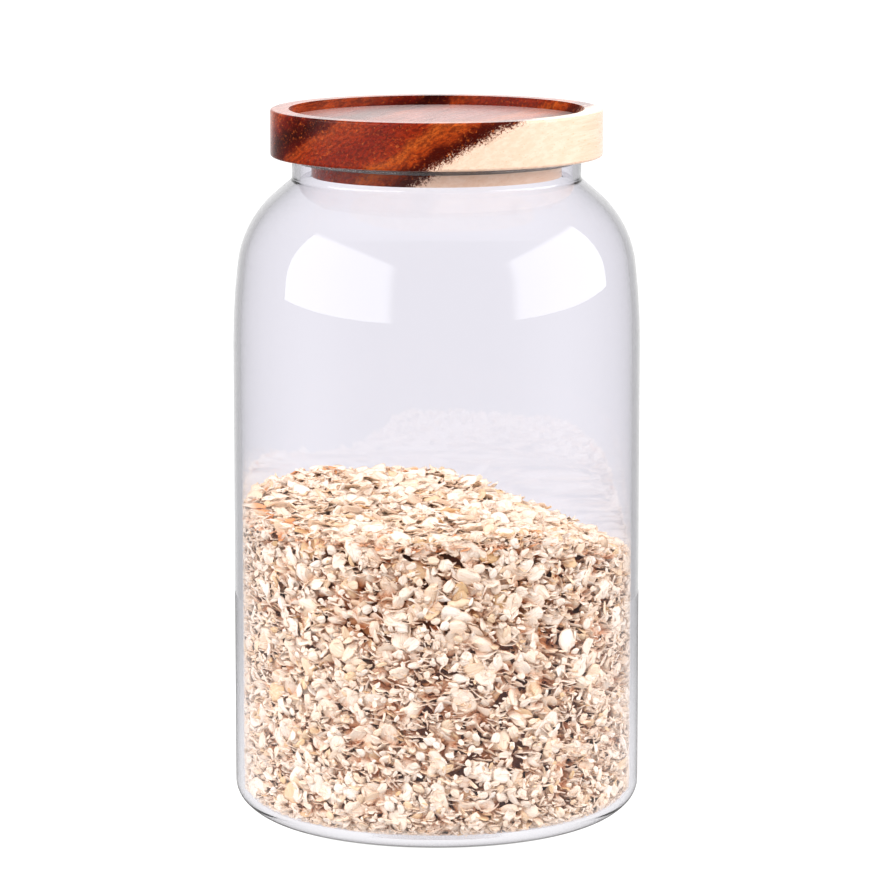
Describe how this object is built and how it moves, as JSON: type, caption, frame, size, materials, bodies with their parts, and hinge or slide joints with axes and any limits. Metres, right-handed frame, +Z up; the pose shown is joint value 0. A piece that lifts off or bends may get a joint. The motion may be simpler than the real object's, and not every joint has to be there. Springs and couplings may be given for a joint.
{
  "type": "glass storage jar with wooden lid",
  "caption": "Tall round glass storage jar with a soft shoulder and short neck, a dished wooden plug lid with a flexible seal, and loose rolled oats inside.",
  "frame": {"origin": "centre of the ring that the jar stands on, at the surface it stands on", "axes": "+Z up along the jar's axis and out of its mouth, -Y towards the front, +X to the right, where the oats lie lower"},
  "size_m": [0.15, 0.15, 0.2628],
  "materials": {
    "clear_glass": "polished",
    "acacia_wood": "satin",
    "clear_silicone": "satin",
    "oats": "matte"
  },
  "bodies": {
    "jar": {"glass_jar": "clear_glass", "rolled_oats": "oats"},
    "seal": {"seal_ring": "clear_silicone"},
    "lid": {"acacia_lid": "acacia_wood"}
  },
  "joints": [
    {"name": "lid_lift", "type": "slide", "parent": "jar", "child": "seal", "axis": [0, 0, 1], "range_m": [0, 0.12]},
    {"name": "lid_turn", "type": "hinge", "parent": "seal", "child": "lid", "pos_m": [0, 0, 0.24405], "axis": [0, 0, 1], "continuous": true}
  ]
}
